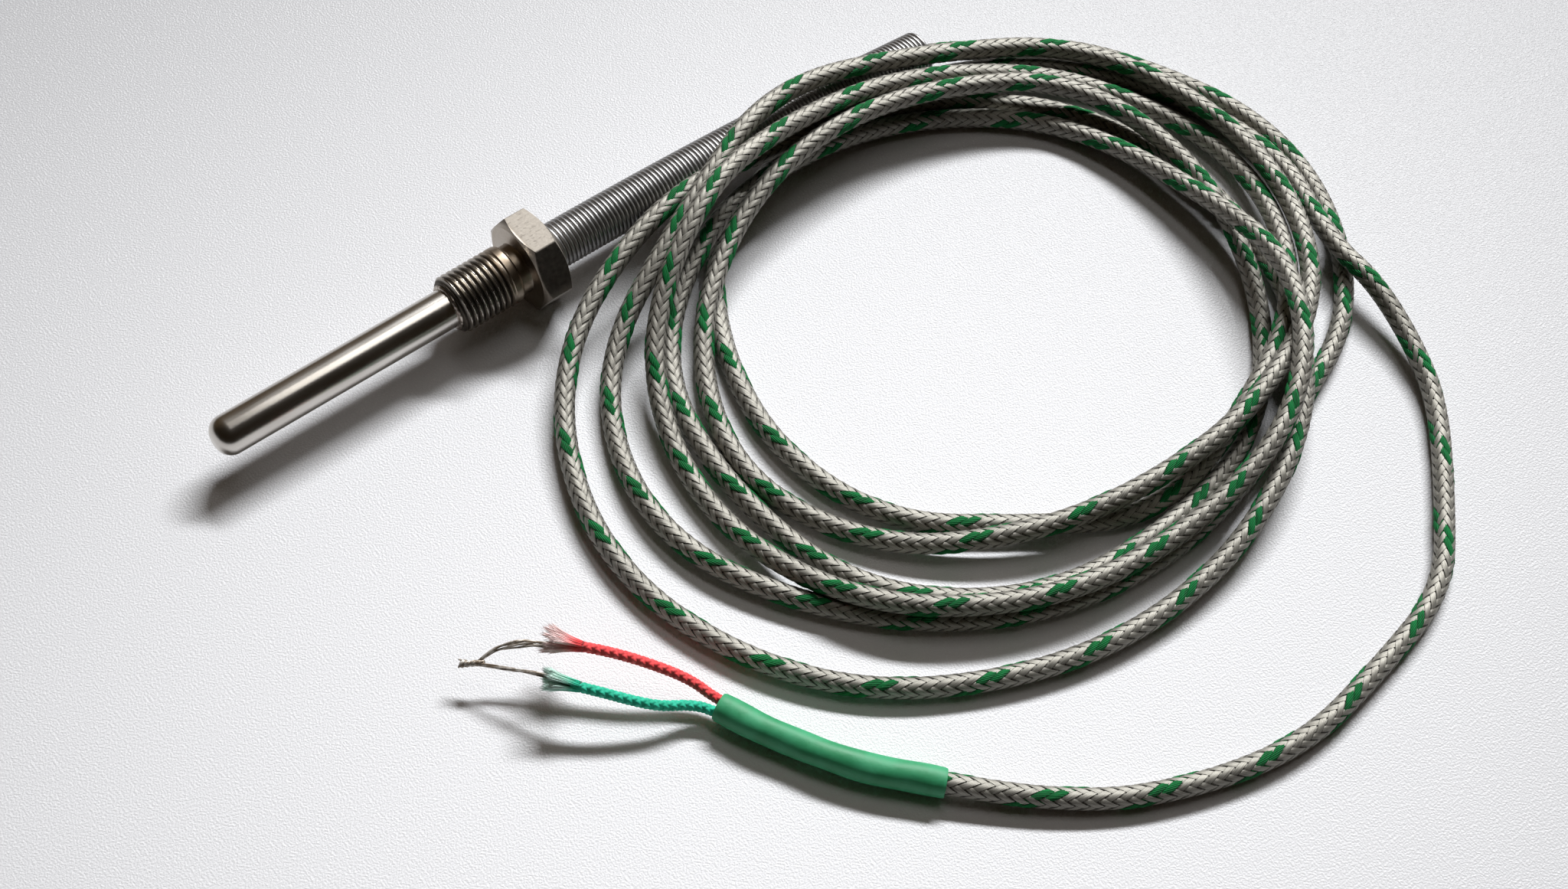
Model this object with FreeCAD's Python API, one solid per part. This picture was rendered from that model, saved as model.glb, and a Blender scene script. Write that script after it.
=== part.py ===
import FreeCAD, Part
import math
import os

from FreeCAD import Vector

# A screw-in thermocouple probe: a closed steel sheath welded into a threaded hexagon fitting,
# a close-wound strain relief spring, and a coiled braided cable that ends in two stripped leads.
# Millimetres. The hexagon lies on the floor at z = 0. X runs along the sheath, from its closed
# tip at -X to the cable end at +X, and the origin is under the middle of the probe without cable.

# Sheath, a thin tube with a rounded closed end
sheath_diameter = 8.0
sheath_wall = 1.0
sheath_reach = 52.0
sheath_seat_depth = 14.0
tip_wall = 1.5
tip_edge_radius = 3.2
bore_end_radius = 1.2

# Fitting, turned from hexagon bar: thread, plain land, relief groove, hexagon and rear spigot
thread_diameter = 12.0
thread_length = 11.8
nose_chamfer = 0.9
land_length = 2.0
land_edge_radius = 0.8
groove_diameter = 10.4
groove_width = 2.2
hex_across_flats = 18.0
hex_thickness = 6.4
hex_chamfer_angle = 30.0
hex_face_share = 0.96
spigot_length = 9.0
spigot_chamfer = 0.4
weld_leg = 0.9
weld_bulge_share = 0.42

# Strain relief spring, close wound, with its free end bent down to the floor
spring_diameter = 9.6
spring_wire = 1.25
spring_turns = 80
spring_groove_depth = 0.45
spring_drop = 4.4
spring_swing_angle = 20.0
spring_bore_sections = 9

# Measuring inset: two thermocouple wires in two-bore ceramic beads, joined at the tip
wire_diameter = 0.6
wire_spacing = 1.8
bead_length = 9.0
bead_count = 6
bead_edge = 0.3
junction_diameter = 3.0
junction_length = 2.4
junction_rounding = 0.6
seal_length = 4.0
ferrule_length = 8.0
ferrule_wall = 0.45

# Cable, sleeve and leads
cable_diameter = 4.1
straight_run = 12.0
lead_out_share = 0.6
arc_reach_share = 0.45
sleeve_diameter = 5.6
sleeve_first_run = 1.0
sleeve_mouth = 6.0
lead_first_reach = 1.0
lead_diameter = 2.0
lead_spacing = 2.1
strand_diameter = 0.7
strand_spacing = 0.9
strand_run = 3.0
twist_diameter = 1.7
twist_length = 4.0

# Clearances
weld_fit = 0.03
slide_fit = 0.1
bead_fit = 0.3
spigot_fit = 0.05
coil_clearance = 0.5

# Coil, seen from above: its centre, and its outer and inner radius every 20 degrees from +X.
# It is highest where its turns lie on the spring.
coil_centre = Vector(44, -62, 0)
coil_outer_radii = [88.5, 87.5, 86, 76, 68, 67.5, 71.5, 76, 83.5, 88,
                    86.5, 82.5, 76.5, 72, 69.5, 69.5, 77, 87]
coil_inner_radii = [58.5, 56, 53.5, 52, 51, 50, 48, 45.5, 44.5, 43,
                    43, 42.5, 42, 44.5, 49, 54, 57.5, 59.5]
coil_height = 9.0
coil_height_on_spring = 18.0
coil_entry_gap = 8.0
tail_step = 4.0

# Tail of the cable on the floor, then its last stretch inside the sleeve
tail_points = [Vector(120.0, -95.0, 6.2), Vector(120.0, -104.0, 6.2), Vector(116.5, -117.0, 3.6),
               Vector(108.5, -131.0, 2.1), Vector(95.0, -146.5, 2.1), Vector(76.0, -158.8, 2.1),
               Vector(55.0, -165.3, 2.1), Vector(33.0, -166.6, 2.1), Vector(11.5, -161.0, 2.1),
               Vector(-7.5, -149.8, 2.1), Vector(-29.5, -125.8, 3.1), Vector(-39.0, -112.0, 3.1),
               Vector(-43.2, -102.0, 3.1)]

# Leads beyond the sleeve's mouth, and the bare strands beyond the leads
red_lead_points = [Vector(-46.6, -89.6, 4.4), Vector(-51.5, -82.4, 5.9), Vector(-55.9, -76.4, 6.2),
                   Vector(-59.4, -72.4, 6.2)]
green_lead_points = [Vector(-49.6, -93.2, 3.6), Vector(-54.2, -91.0, 5.0), Vector(-57.8, -87.2, 5.8),
                     Vector(-61.2, -82.8, 6.2), Vector(-64.5, -78.4, 6.2)]
red_strand_points = [Vector(-67.0, -67.6, 6.7)]
green_strand_points = [Vector(-69.3, -72.2, 6.1)]
twist_start = Vector(-74.3, -66.3, 6.2)
twist_direction = Vector(-0.6, 0.8, 0)

# Places along the axis, worked out from the lengths above
axis_height = hex_across_flats / 2
spring_length = spring_turns * spring_wire
spring_bend_radius = spring_length ** 2 / (2 * spring_drop)
spring_bend_angle = spring_length / spring_bend_radius
neck_length = land_length + groove_width
rigid_length = sheath_reach + thread_length + neck_length + hex_thickness
spring_reach = (spring_bend_radius + spring_diameter / 2) * math.sin(spring_bend_angle)
tip_x = -(rigid_length + spring_reach) / 2
nose_x = tip_x + sheath_reach
land_x = nose_x + thread_length
groove_x = land_x + land_length
hex_x = groove_x + groove_width
hex_rear_x = hex_x + hex_thickness
spigot_x = hex_rear_x + spigot_length
seat_x = nose_x + sheath_seat_depth
cable_start_x = seat_x + seal_length
along_axis = Vector(1, 0, 0)
floor_normal = Vector(0, 0, 1)
spigot_diameter = spring_diameter - 2 * spring_wire - 2 * spigot_fit
ferrule_diameter = cable_diameter + 2 * ferrule_wall
cable_bore = ferrule_diameter + 2 * slide_fit
sheath_bore = sheath_diameter - 2 * sheath_wall
bead_diameter = sheath_bore - 2 * bead_fit


def on_axis(x, y=0.0, z=0.0):
    """A point at x along the probe's axis, set off by y and z from it."""
    return Vector(x, y, axis_height + z)


def turned(outline):
    """A solid turned about the probe's axis from (x, radius) points and arcs.

    An entry of three points is an arc from the first to the last through the middle one.
    """
    edges = []
    corners = []
    for entry in outline:
        arc = isinstance(entry[0], tuple)
        points = [on_axis(x, 0, radius) for x, radius in (entry if arc else [entry])]
        corners.append((points, arc))
    for index, (points, arc) in enumerate(corners):
        if arc:
            edges.append(Part.Arc(*points).toShape())
        following = corners[(index + 1) % len(corners)][0][0]
        if points[-1].distanceToPoint(following) > 1e-6:
            edges.append(Part.LineSegment(points[-1], following).toShape())
    face = Part.Face(Part.Wire(edges))
    return face.revolve(on_axis(0), along_axis, 360)


def corner_arc(centre_x, centre_radius, radius, from_degrees, to_degrees):
    """Three (x, radius) points of an arc about a centre, between two angles from +X."""
    middle = (from_degrees + to_degrees) / 2
    angles = [math.radians(angle) for angle in (from_degrees, middle, to_degrees)]
    return [(centre_x + radius * math.cos(angle), centre_radius + radius * math.sin(angle))
            for angle in angles]


def rod(start_x, end_x, diameter, y=0.0):
    """A round rod along the axis, set off sideways by y."""
    return Part.makeCylinder(diameter / 2, end_x - start_x, on_axis(start_x, y), along_axis)


def route(points, label):
    """Straight runs joined by tangent arcs, each arc as large as its two runs allow."""
    edges = []
    radii = []
    place = points[0]
    for before, corner, after in zip(points, points[1:], points[2:]):
        run_in = corner - before
        run_out = after - corner
        reach = arc_reach_share * min(run_in.Length, run_out.Length)
        half_turn = run_in.getAngle(run_out) / 2
        radius = reach / math.tan(half_turn)
        arc_start = corner - run_in.normalize() * reach
        arc_end = corner + run_out.normalize() * reach
        inward = ((arc_start + arc_end) * 0.5 - corner).normalize()
        middle = corner + inward * (radius / math.cos(half_turn) - radius)
        edges.append(Part.LineSegment(place, arc_start).toShape())
        edges.append(Part.Arc(arc_start, middle, arc_end).toShape())
        radii.append(round(radius, 1))
        place = arc_end
    edges.append(Part.LineSegment(place, points[-1]).toShape())
    print(label, "radii", radii)
    return edges


def tube(edges, diameter, label):
    """A round solid along a route, with its volume set against section times length."""
    path = Part.Wire(edges)
    start = edges[0].valueAt(edges[0].FirstParameter)
    heading = edges[0].tangentAt(edges[0].FirstParameter)
    section = Part.Wire(Part.makeCircle(diameter / 2, start, heading))
    solid = path.makePipeShell([section], True, True)
    expected = math.pi * diameter ** 2 / 4 * path.Length
    print(label, "length", round(path.Length, 1), "volume share", round(solid.Volume / expected, 4))
    return solid


def sheath_tube():
    """Drawn tube with a rounded end and a bore that stops at the tip wall."""
    radius = sheath_diameter / 2
    bore = sheath_bore / 2
    flat = radius - tip_edge_radius
    bore_end_x = tip_x + tip_wall
    outline = [(tip_x, 0), (tip_x, flat)]
    outline.append(corner_arc(tip_x + tip_edge_radius, flat, tip_edge_radius, 180, 90))
    outline += [(seat_x, radius), (seat_x, bore)]
    outline.append(corner_arc(bore_end_x + bore_end_radius, bore - bore_end_radius, bore_end_radius, 90, 180))
    outline.append((bore_end_x, 0))
    return turned(outline)


def threaded_fitting():
    """Turned thread blank, land, groove and spigot, with a chamfered hexagon and a stepped bore."""
    thread = thread_diameter / 2
    groove = groove_diameter / 2
    spigot = spigot_diameter / 2
    seat_bore = sheath_diameter / 2 + weld_fit
    land_edge_x = groove_x - land_edge_radius
    outline = [(nose_x, seat_bore), (nose_x, thread - nose_chamfer), (nose_x + nose_chamfer, thread)]
    outline.append(corner_arc(land_edge_x, thread - land_edge_radius, land_edge_radius, 90, 0))
    outline += [(groove_x, groove), (hex_rear_x, groove), (hex_rear_x, spigot)]
    outline += [(spigot_x - spigot_chamfer, spigot), (spigot_x, spigot - spigot_chamfer)]
    outline += [(spigot_x, cable_bore / 2), (seat_x, cable_bore / 2), (seat_x, seat_bore)]
    body = turned(outline)
    corner = hex_across_flats / math.sqrt(3)
    angles = [math.radians(60 * index) for index in range(7)]
    corners = [on_axis(hex_x, corner * math.cos(angle), corner * math.sin(angle)) for angle in angles]
    prism = Part.Face(Part.makePolygon(corners)).extrude(along_axis * hex_thickness)
    face_radius = hex_face_share * hex_across_flats / 2
    chamfer = (corner - face_radius) * math.tan(math.radians(hex_chamfer_angle))
    envelope = turned([(hex_x, 0), (hex_x, face_radius), (hex_x + chamfer, corner),
                       (hex_rear_x, corner), (hex_rear_x, 0)])
    core = turned([(hex_x, 0), (hex_x, groove), (hex_rear_x, groove), (hex_rear_x, 0)])
    return body.fuse(prism.common(envelope).cut(core)).removeSplitter()


def weld_bead():
    """Fillet weld round the sheath, on the nose of the thread."""
    inner = sheath_diameter / 2 + weld_fit
    bulge = weld_bulge_share * weld_leg
    arc = [(nose_x - weld_leg, inner), (nose_x - bulge, inner + bulge), (nose_x, inner + weld_leg)]
    return turned([arc, (nose_x, inner)])


def spring_section(distance, radius):
    """A circle across the spring at a distance along its bent axis."""
    turn = distance / spring_bend_radius
    swing = math.radians(spring_swing_angle)
    bend_way = Vector(0, math.sin(swing), -math.cos(swing))
    along = along_axis * (spring_bend_radius * math.sin(turn))
    across = bend_way * (spring_bend_radius * (1 - math.cos(turn)))
    heading = along_axis * math.cos(turn) + bend_way * math.sin(turn)
    return Part.Wire(Part.makeCircle(radius, on_axis(hex_rear_x) + along + across, heading))


def strain_relief_spring():
    """Close-wound wire as a row of ridged turns along the bend, open through its bore."""
    crest = spring_diameter / 2
    half_turns = range(2 * spring_turns + 1)
    step = spring_length / (2 * spring_turns)
    outer = [spring_section(index * step, crest - spring_groove_depth * (1 - index % 2))
             for index in half_turns]
    bore_radius = crest - spring_wire
    bore_step = spring_length / (spring_bore_sections - 1)
    bore = [spring_section(index * bore_step, bore_radius) for index in range(spring_bore_sections)]
    return Part.makeLoft(outer, True, True).cut(Part.makeLoft(bore, True, True))


def measuring_junction():
    """Welded joint of the two wires, seated on the tip wall inside the sheath."""
    start = tip_x + tip_wall
    radius = junction_diameter / 2
    nose = corner_arc(start + junction_rounding, radius - junction_rounding, junction_rounding, 180, 90)
    end = start + junction_length
    return turned([(start, 0), nose, (end, radius), (end, 0)])


def thermocouple_wire(side):
    """One bare wire from the junction to the end of the cable."""
    return rod(tip_x + tip_wall + junction_length, cable_start_x, wire_diameter, side * wire_spacing / 2)


def wire_bores(start_x, end_x):
    """The two clearance holes for the wires."""
    width = wire_diameter + 2 * slide_fit
    return [rod(start_x, end_x, width, side * wire_spacing / 2) for side in (-1, 1)]


def ceramic_bead(index):
    """Two-bore ceramic insulator with chamfered ends."""
    start = seat_x - (bead_count - index) * bead_length
    end = start + bead_length
    radius = bead_diameter / 2
    body = turned([(start, 0), (start, radius - bead_edge), (start + bead_edge, radius),
                   (end - bead_edge, radius), (end, radius - bead_edge), (end, 0)])
    return body.cut(wire_bores(start, end))


def end_seal():
    """Cement plug that closes the sheath behind the last bead, in the bore of the fitting."""
    return rod(seat_x, cable_start_x, cable_bore - 2 * slide_fit).cut(wire_bores(seat_x, cable_start_x))


def cable_ferrule():
    """Crimp tube on the end of the cable, in the rear bore of the fitting."""
    end = cable_start_x + ferrule_length
    body = rod(cable_start_x, end, ferrule_diameter)
    return body.cut(rod(cable_start_x, end, cable_diameter + 2 * weld_fit))


def spring_axis(distance):
    """A point on the bent axis of the spring."""
    return spring_section(distance, spring_diameter / 2).Edges[0].Curve.Center


def lead_out_points():
    """Route of the cable through the spring and level out of its end."""
    end = spring_axis(spring_length)
    start = on_axis(cable_start_x)
    first = on_axis(spigot_x + straight_run)
    middle = spring_axis(lead_out_share * spring_length)
    late = Vector(end.x - straight_run, end.y, end.z)
    wall = Vector(end.x + coil_entry_gap, end.y, end.z)
    return [start, first, middle, late, wall]


def ring_face(radii):
    """A face inside a smooth closed line through radii at even angles round the coil's centre."""
    step = 2 * math.pi / len(radii)
    points = []
    for index, radius in enumerate(radii):
        points.append(coil_centre + Vector(math.cos(index * step), math.sin(index * step), 0) * radius)
    line = Part.BSplineCurve()
    line.interpolate(Points=points, PeriodicFlag=True)
    return Part.Face(Part.Wire(line.toShape()))


def cable_coil():
    """The outer shape of all turns: a ring, higher on the spring, with a channel for the spring."""
    ring = ring_face(coil_outer_radii).extrude(floor_normal * coil_height_on_spring)
    ring = ring.cut(ring_face(coil_inner_radii).extrude(floor_normal * coil_height_on_spring))
    room = 2 * max(coil_outer_radii)
    far_y = spring_diameter
    left_x = coil_centre.x - room
    side = [Vector(left_x, far_y, 0), Vector(left_x, far_y, coil_height_on_spring),
            Vector(left_x, coil_centre.y, coil_height), Vector(left_x, coil_centre.y - room, coil_height),
            Vector(left_x, coil_centre.y - room, 0)]
    envelope = Part.Face(Part.makePolygon(side + side[:1])).extrude(along_axis * (2 * room))
    wall_x = spring_axis(spring_length).x + coil_entry_gap
    width = spring_diameter / 2 + abs(spring_axis(spring_length).y) + coil_clearance
    roof = spring_diameter / 2 + coil_clearance
    crown = [spring_axis(share * spring_length) + floor_normal * roof for share in (0, 0.5, 1)]
    start = Vector(hex_rear_x, 0, 0)
    back = Vector(wall_x, 0, crown[2].z)
    outline = [Part.LineSegment(start, on_flat(crown[0])).toShape(),
               Part.Arc(*[on_flat(point) for point in crown]).toShape(),
               Part.LineSegment(on_flat(crown[2]), back).toShape(),
               Part.LineSegment(back, Vector(wall_x, 0, 0)).toShape(),
               Part.LineSegment(Vector(wall_x, 0, 0), start).toShape()]
    channel = Part.Face(Part.Wire(outline))
    channel.translate(Vector(0, -width, 0))
    channel = channel.extrude(Vector(0, 2 * width, 0))
    corner = Vector(tail_points[0].x - tail_step, tail_points[0].y - room, 0)
    step = Part.makeBox(room, room, coil_height_on_spring, corner)
    return ring.common(envelope).cut([channel, step])


def on_flat(point):
    """A point moved into the upright plane through the probe's axis."""
    return Vector(point.x, 0, point.z)


def sleeve_edges(tail_edges):
    """Route of the sleeve: the end of the tail's route, lengthened to the sleeve's mouth."""
    first_arc, middle, last_arc, last = tail_edges[-4:]
    start = first_arc.valueAt(first_arc.FirstParameter)
    heading = first_arc.tangentAt(first_arc.FirstParameter)
    first = Part.LineSegment(start - heading * sleeve_first_run, start).toShape()
    end = last.Vertexes[1].Point
    last_start = last.Vertexes[0].Point
    mouth = end + (end - last_start).normalize() * sleeve_mouth
    return [first, first_arc, middle, last_arc, Part.LineSegment(last_start, mouth).toShape()]


def lead_route(side, points):
    """Route of a lead from the end of the cable, out of the sleeve and along its own points."""
    end = tail_points[-1]
    heading = (tail_points[-1] - tail_points[-2]).normalize()
    offset = heading.cross(floor_normal).normalize() * (side * lead_spacing / 2)
    return [end + offset, end + heading * (sleeve_mouth + lead_first_reach) + offset] + points


def strand_route(points, lead, side):
    """Route of the bare strands, straight out of a lead and straight into the twisted end."""
    offset = twist_direction.cross(floor_normal).normalize() * (side * strand_spacing / 2)
    heading = (lead[-1] - lead[-2]).normalize()
    end = twist_start + offset
    return [lead[-1], lead[-1] + heading * strand_run] + points + [end - twist_direction * strand_run, end]


def add_cable(nodes):
    """The cable's own pieces: lead-out, coil, tail, sleeve, leads and bare strands."""
    lead_out_edges = route(lead_out_points(), "cable_lead_out")
    nodes["cable_lead_out"] = tube(lead_out_edges, cable_diameter, "cable_lead_out")
    nodes["cable_coil"] = cable_coil()
    tail_edges = route(tail_points, "cable_tail")
    nodes["cable_tail"] = tube(tail_edges, cable_diameter, "cable_tail")
    sleeve_path = sleeve_edges(tail_edges)
    sleeve = tube(sleeve_path, sleeve_diameter, "shrink_sleeve")
    bore = tube(sleeve_path, cable_diameter + 2 * slide_fit, "sleeve_bore")
    nodes["shrink_sleeve"] = sleeve.cut(bore)
    for name, side, points, strands in (("red_lead", 1, red_lead_points, red_strand_points),
                                        ("green_lead", -1, green_lead_points, green_strand_points)):
        lead = lead_route(side, points)
        nodes[name] = tube(route(lead, name), lead_diameter, name)
        bare = name.replace("lead", "bare_strands")
        path = route(strand_route(strands, lead, side), bare)
        nodes[bare] = tube(path, strand_diameter, bare)
    nodes["twisted_end"] = Part.makeCylinder(twist_diameter / 2, twist_length, twist_start, twist_direction)


def build():
    """All pieces of the probe, by node name."""
    nodes = {
        "sheath_tube": sheath_tube(),
        "threaded_fitting": threaded_fitting(),
        "weld_bead": weld_bead(),
        "strain_relief_spring": strain_relief_spring(),
        "measuring_junction": measuring_junction(),
        "positive_wire": thermocouple_wire(1),
        "negative_wire": thermocouple_wire(-1),
        "end_seal": end_seal(),
        "cable_ferrule": cable_ferrule(),
    }
    for index in range(bead_count):
        nodes[f"ceramic_bead_{index + 1}"] = ceramic_bead(index)
    add_cable(nodes)
    return nodes


os.makedirs("parts", exist_ok=True)
for name, shape in build().items():
    box = shape.BoundBox
    print(name, "valid", shape.isValid(), "solids", len(shape.Solids), "volume", round(shape.Volume, 1),
          "x", round(box.XMin, 2), round(box.XMax, 2), "y", round(box.YMin, 2), round(box.YMax, 2),
          "z", round(box.ZMin, 2), round(box.ZMax, 2))
    shape.exportStep(f"parts/{name}.step")
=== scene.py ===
import bmesh
import bpy
import numpy as np
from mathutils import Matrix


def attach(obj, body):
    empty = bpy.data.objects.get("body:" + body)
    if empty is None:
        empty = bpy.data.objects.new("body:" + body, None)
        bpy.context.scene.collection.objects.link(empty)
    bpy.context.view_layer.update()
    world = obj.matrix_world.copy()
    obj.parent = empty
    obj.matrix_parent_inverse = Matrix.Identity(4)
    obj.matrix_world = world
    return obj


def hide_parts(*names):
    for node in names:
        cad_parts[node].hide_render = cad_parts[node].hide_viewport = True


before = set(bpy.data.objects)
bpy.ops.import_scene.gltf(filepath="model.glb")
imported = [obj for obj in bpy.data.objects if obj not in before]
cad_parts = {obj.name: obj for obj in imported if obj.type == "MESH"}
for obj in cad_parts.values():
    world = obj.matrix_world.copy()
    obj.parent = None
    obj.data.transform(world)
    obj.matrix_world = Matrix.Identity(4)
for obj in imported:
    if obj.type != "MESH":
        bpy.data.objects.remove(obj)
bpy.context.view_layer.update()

# The measuring junction and the two thermocouple wires: nickel alloy drawn wire, its two ends melted
# together into a bead on the tip wall. They lie inside the sheath and keep their solids.


class Shade:
    """A socket of a finish's node tree: arithmetic on it adds Math nodes, and node() adds any other node."""

    def __init__(self, tree, socket):
        self.tree = tree
        self.socket = socket

    def node(self, kind, settings, sockets, output=0):
        """Adds one node, its settings first and then the values or links of its sockets; gives its output."""
        made = self.tree.nodes.new("ShaderNode" + kind)
        for name, value in settings.items():
            setattr(made, name, value)
        for name, value in sockets.items():
            if isinstance(value, Shade):
                self.tree.links.new(value.socket, made.inputs[name])
            else:
                made.inputs[name].default_value = value
        return Shade(self.tree, made.outputs[output])

    def math(self, operation, first, second=0.0):
        return self.node("Math", {"operation": operation}, {0: first, 1: second})

    def __add__(self, other):
        return self.math("ADD", self, other)

    def __sub__(self, other):
        return self.math("SUBTRACT", self, other)

    def __rsub__(self, other):
        return self.math("SUBTRACT", other, self)

    def __mul__(self, other):
        return self.math("MULTIPLY", self, other)

    __radd__ = __add__
    __rmul__ = __mul__

    def sine(self):
        return self.math("SINE", self)

    def size(self):
        return self.math("ABSOLUTE", self)

    def step(self, low, high):
        """0 below low, 1 above high, and a smooth rise between them."""
        return self.node("MapRange", {"interpolation_type": "SMOOTHSTEP"},
                         {"Value": self, "From Min": low, "From Max": high})

    def blend(self, first, second):
        """The first colour where this value is 0, the second where it is 1."""
        return self.node("Mix", {"data_type": "RGBA"}, {0: self, 6: first, 7: second}, 2)

    def stretched(self, scale):
        """These coordinates times a scale along each axis."""
        return self.node("Mapping", {}, {"Vector": self, "Scale": scale})

    def grain(self, scale, detail=2.0):
        """Smooth noise about 0.5 on these coordinates, with so many lumps to a unit."""
        return self.node("TexNoise", {}, {"Vector": self, "Scale": scale, "Detail": detail})

    def relief(self, depth, strength=1.0):
        """A bump of this height, depth in metres."""
        return self.node("Bump", {}, {"Height": self, "Distance": depth, "Strength": strength})

    def feeds(self, shader, name):
        self.tree.links.new(self.socket, shader.inputs[name])


def finish(name, plain):
    """A new finish: its material, its shader with the plain values set, its Object and its UV coordinates."""
    material = bpy.data.materials.new(name)
    material.use_nodes = True
    tree = material.node_tree
    shader = tree.nodes["Principled BSDF"]
    for socket, value in plain.items():
        shader.inputs[socket].default_value = value
    source = tree.nodes.new("ShaderNodeTexCoord")
    return material, shader, Shade(tree, source.outputs["Object"]), Shade(tree, source.outputs["UV"])


def dress(nodes, material):
    """Gives the solids of these names a finish."""
    for name in nodes:
        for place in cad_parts[name].material_slots:
            place.material = material


def mottled(name, dark, light, scale, roughness, metallic, depth):
    """A finish of two close colours in soft patches, with a fine grain of that depth in metres."""
    material, shader, place, _ = finish(name, {"Metallic": metallic})
    patches = place.grain(scale, 4.0)
    patches.step(0.35, 0.65).blend(dark, light).feeds(shader, "Base Color")
    (place.grain(scale * 5.0) * 0.2 + (roughness - 0.1)).feeds(shader, "Roughness")
    place.grain(scale * 8.0).relief(depth).feeds(shader, "Normal")
    return material


dress(["measuring_junction", "positive_wire", "negative_wire"],
      mottled("thermocouple_wire", (0.30, 0.26, 0.22, 1), (0.44, 0.40, 0.36, 1), 900.0, 0.40, 1.0, 2e-5))

# The ceramic beads, the cement that closes the sheath behind them, and the crimped ferrule that holds
# the end of the cable in the fitting: pressed and fired ceramic, poured cement and a drawn brass tube.
dress(["ceramic_bead_%d" % count for count in range(1, 7)],
      mottled("bead_ceramic", (0.62, 0.57, 0.47, 1), (0.78, 0.74, 0.65, 1), 600.0, 0.62, 0.0, 2e-5))
dress(["end_seal"],
      mottled("seal_cement", (0.42, 0.39, 0.35, 1), (0.58, 0.55, 0.50, 1), 800.0, 0.85, 0.0, 6e-5))
dress(["cable_ferrule"],
      mottled("ferrule_metal", (0.46, 0.34, 0.16, 1), (0.62, 0.48, 0.25, 1), 500.0, 0.38, 1.0, 1e-5))

# The sheath: a drawn stainless tube whose end is spun shut and polished. Fine draw lines run along it,
# and it is pushed into the fitting as far as the seat.
axis_height = 9.0
tip_x, nose_x, seat_x = -87.347, -35.347, -21.347
sheath_radius, sheath_bore_radius, tip_wall, tip_edge_radius = 4.0, 3.0, 1.5, 3.2
bore_end_x, bore_end_cone = tip_x + tip_wall, 1.2


def skin(name, grid, wrap_rows=False, across=None, along=None, crease=40.0):
    """Turns grids of points in millimetres into one mesh piece.

    grid has the shape (pieces, rows, columns, 3). Each cell becomes a quad, the last column joins the
    first, and the last row too where rows wrap. Rows shrunk to a point close into a pole. The faces are
    turned outward by the sign of the volume that they enclose. across and along are the UV values of the
    columns, one more than there are columns, and of the rows.
    """
    pieces, rows, columns = grid.shape[:3]
    index = np.arange(pieces * rows * columns).reshape(pieces, rows, columns)
    index = np.concatenate([index, index[:, :, :1]], axis=2)
    if wrap_rows:
        index = np.concatenate([index, index[:, :1]], axis=1)
    quads = np.stack([index[:, :-1, :-1], index[:, :-1, 1:], index[:, 1:, 1:], index[:, 1:, :-1]], -1)
    points = grid.reshape(-1, 3) * 0.001
    corners = points[quads.reshape(-1, 4)]
    volume = np.einsum("ij,ij->i", corners[:, 0], np.cross(corners[:, 1], corners[:, 2]))
    volume += np.einsum("ij,ij->i", corners[:, 0], np.cross(corners[:, 2], corners[:, 3]))
    inward = volume.sum() < 0
    cells = quads.shape[1:3]
    if inward:
        quads = quads[..., ::-1]
    mesh = bpy.data.meshes.new(name)
    mesh.vertices.add(len(points))
    mesh.vertices.foreach_set("co", points.ravel())
    mesh.loops.add(quads.size)
    mesh.loops.foreach_set("vertex_index", quads.ravel().astype(np.int32))
    mesh.polygons.add(quads.size // 4)
    mesh.polygons.foreach_set("loop_start", np.arange(0, quads.size, 4, dtype=np.int32))
    mesh.update(calc_edges=True)
    if across is not None:
        across = np.broadcast_to(across, (pieces, cells[0] + 1, columns + 1))
        along = np.broadcast_to(along, (pieces, cells[0] + 1, columns + 1))
        uv = np.stack([across, along], -1)
        uv = np.stack([uv[:, :-1, :-1], uv[:, :-1, 1:], uv[:, 1:, 1:], uv[:, 1:, :-1]], -2)
        if inward:
            uv = uv[..., ::-1, :]
        layer = mesh.uv_layers.new(name="lay")
        layer.data.foreach_set("uv", np.ascontiguousarray(uv, dtype=np.float32).ravel())
    joined = bmesh.new()
    joined.from_mesh(mesh)
    bmesh.ops.remove_doubles(joined, verts=joined.verts, dist=1e-8)
    joined.to_mesh(mesh)
    joined.free()
    mesh.shade_smooth()
    mesh.set_sharp_from_angle(angle=np.radians(crease))
    piece = bpy.data.objects.new(name, mesh)
    bpy.context.scene.collection.objects.link(piece)
    return piece


def settle(piece, material, slot, *nodes):
    """Gives a piece its finish and puts it in place of its solids on the one body; the slot is not used."""
    piece.data.materials.append(material)
    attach(piece, "root")
    if nodes:
        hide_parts(*nodes)


def turned(profile, columns):
    """Points (x, radius) of a profile turned about the probe's axis, one ring of columns for each point."""
    angle = np.arange(columns) * 2 * np.pi / columns
    x, radius = np.asarray(profile, float).T[:, :, None]
    return np.stack([x + 0 * angle, radius * np.cos(angle), axis_height + radius * np.sin(angle)], -1)[None]


corner = np.radians(np.linspace(180, 90, 15))
outside = np.stack([tip_x + tip_edge_radius * (1 + np.cos(corner)),
                    sheath_radius - tip_edge_radius * (1 - np.sin(corner))], 1)
profile = np.vstack([[(tip_x, 0), (tip_x, 0.4)], outside, [(-70, sheath_radius), (-52, sheath_radius)],
                     [(seat_x, sheath_radius), (seat_x, sheath_bore_radius)],
                     [(bore_end_x + bore_end_cone, sheath_bore_radius)],
                     [(bore_end_x, sheath_bore_radius - bore_end_cone), (bore_end_x, 0)]])
sheath = skin("drawn_sheath", turned(profile, 96), crease=50.0)
sheath_steel, shader, place, _ = finish("sheath_steel", {"Metallic": 1.0})
lines = place.stretched((40.0, 4200.0, 4200.0)).grain(1.0, 3.0)
clouds = place.stretched((90.0, 260.0, 260.0)).grain(1.0, 4.0)
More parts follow.
